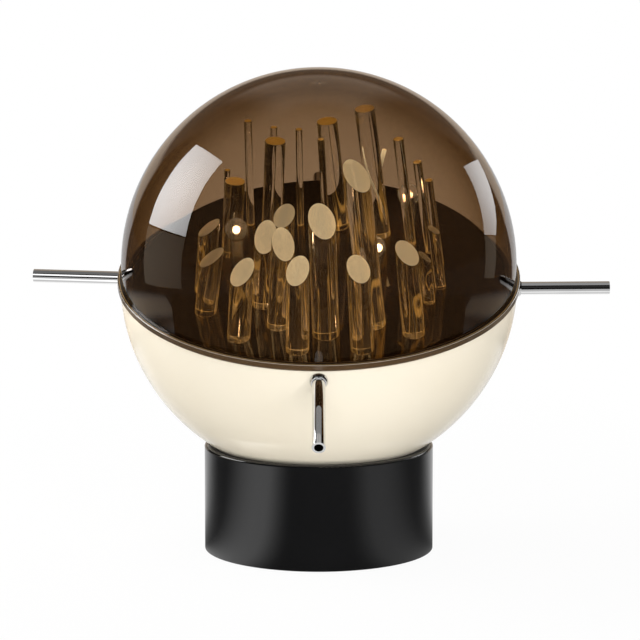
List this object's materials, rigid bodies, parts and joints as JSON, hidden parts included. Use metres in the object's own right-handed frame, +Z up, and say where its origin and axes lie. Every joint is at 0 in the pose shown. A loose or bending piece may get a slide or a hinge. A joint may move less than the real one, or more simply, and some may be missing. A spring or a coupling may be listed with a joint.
{
  "type": "globe table lamp",
  "caption": "Table lamp: a tilted ball of ivory bowl and smoked dome in an open black drum, with chrome tube handles and clear upright rods on a mirror plate inside.",
  "frame": {"origin": "middle of the felt pad's underside, on the drum's axis, at the floor", "axes": "+Z up along the drum's axis; the ball leans towards -Y, the front; +X to the right seen from the front"},
  "size_m": [0.5889, 0.5704, 0.4934],
  "materials": {
    "black_drum": "high gloss black",
    "black_plastic": "matt",
    "brass": "plain",
    "chrome": "polished",
    "clear_rod": "clear, polished sides, frosted top face",
    "felt": "felt",
    "glass_clear": "clear",
    "ivory_bowl": "glossy ivory",
    "mirror_black": "black mirror polish",
    "rubber_black": "matt",
    "smoked_clear": "clear smoked brown, polished",
    "white_plastic": "matt",
    "zinc_steel": "zinc plated"
  },
  "bodies": {
    "base": {"base_drum": "black_drum", "base_floor_plate": "zinc_steel", "ballast_disc": "zinc_steel", "felt_pad": "felt", "floor_screws": "zinc_steel", "cord_grommet": "black_plastic"},
    "seat": {"seat_ring": "black_plastic"},
    "globe": {"bar_back": "chrome", "bar_front": "chrome", "bar_left": "chrome", "bar_nuts": "zinc_steel", "bar_right": "chrome", "boss_screws": "zinc_steel", "bowl": "ivory_bowl", "bulb_caps": "brass", "bulb_glass_1": "glass_clear", "bulb_glass_2": "glass_clear", "bulb_glass_3": "glass_clear", "inner_leads": "white_plastic", "lampholder_1": "black_plastic", "lampholder_2": "black_plastic", "lampholder_3": "black_plastic", "mirror_plate": "mirror_black", "rim_gasket": "rubber_black", "rod_01": "clear_rod", "rod_02": "clear_rod", "rod_03": "clear_rod", "rod_04": "clear_rod", "rod_05": "clear_rod", "rod_06": "clear_rod", "rod_07": "clear_rod", "rod_08": "clear_rod", "rod_09": "clear_rod", "rod_10": "clear_rod", "rod_11": "clear_rod", "rod_12": "clear_rod", "rod_13": "clear_rod", "rod_14": "clear_rod", "rod_15": "clear_rod", "rod_16": "clear_rod", "rod_17": "clear_rod", "rod_18": "clear_rod", "rod_19": "clear_rod", "rod_20": "clear_rod", "rod_21": "clear_rod", "rod_22": "clear_rod", "rod_23": "clear_rod", "rod_24": "clear_rod", "rod_25": "clear_rod", "rod_26": "clear_rod", "rosette_back": "chrome", "rosette_front": "chrome", "rosette_left": "chrome", "rosette_right": "chrome", "stem_boss": "zinc_steel", "stem_nuts": "zinc_steel", "stem_tube": "zinc_steel", "terminal_block": "white_plastic"},
    "lid": {"dome": "smoked_clear"}
  },
  "joints": [
    {"name": "globe_turn", "type": "hinge", "parent": "base", "child": "seat", "pos_m": [0, 0, 0.104], "axis": [0, 0, 1], "range_deg": [-180, 180]},
    {"name": "globe_tilt", "type": "hinge", "parent": "seat", "child": "globe", "pos_m": [0, 0, 0.27926], "axis": [1, 0, 0], "range_deg": [-41, 8]},
    {"name": "dome_lift", "type": "slide", "parent": "globe", "child": "lid", "axis": [0, -0.284, 0.9588], "range_m": [0, 0.25]}
  ]
}
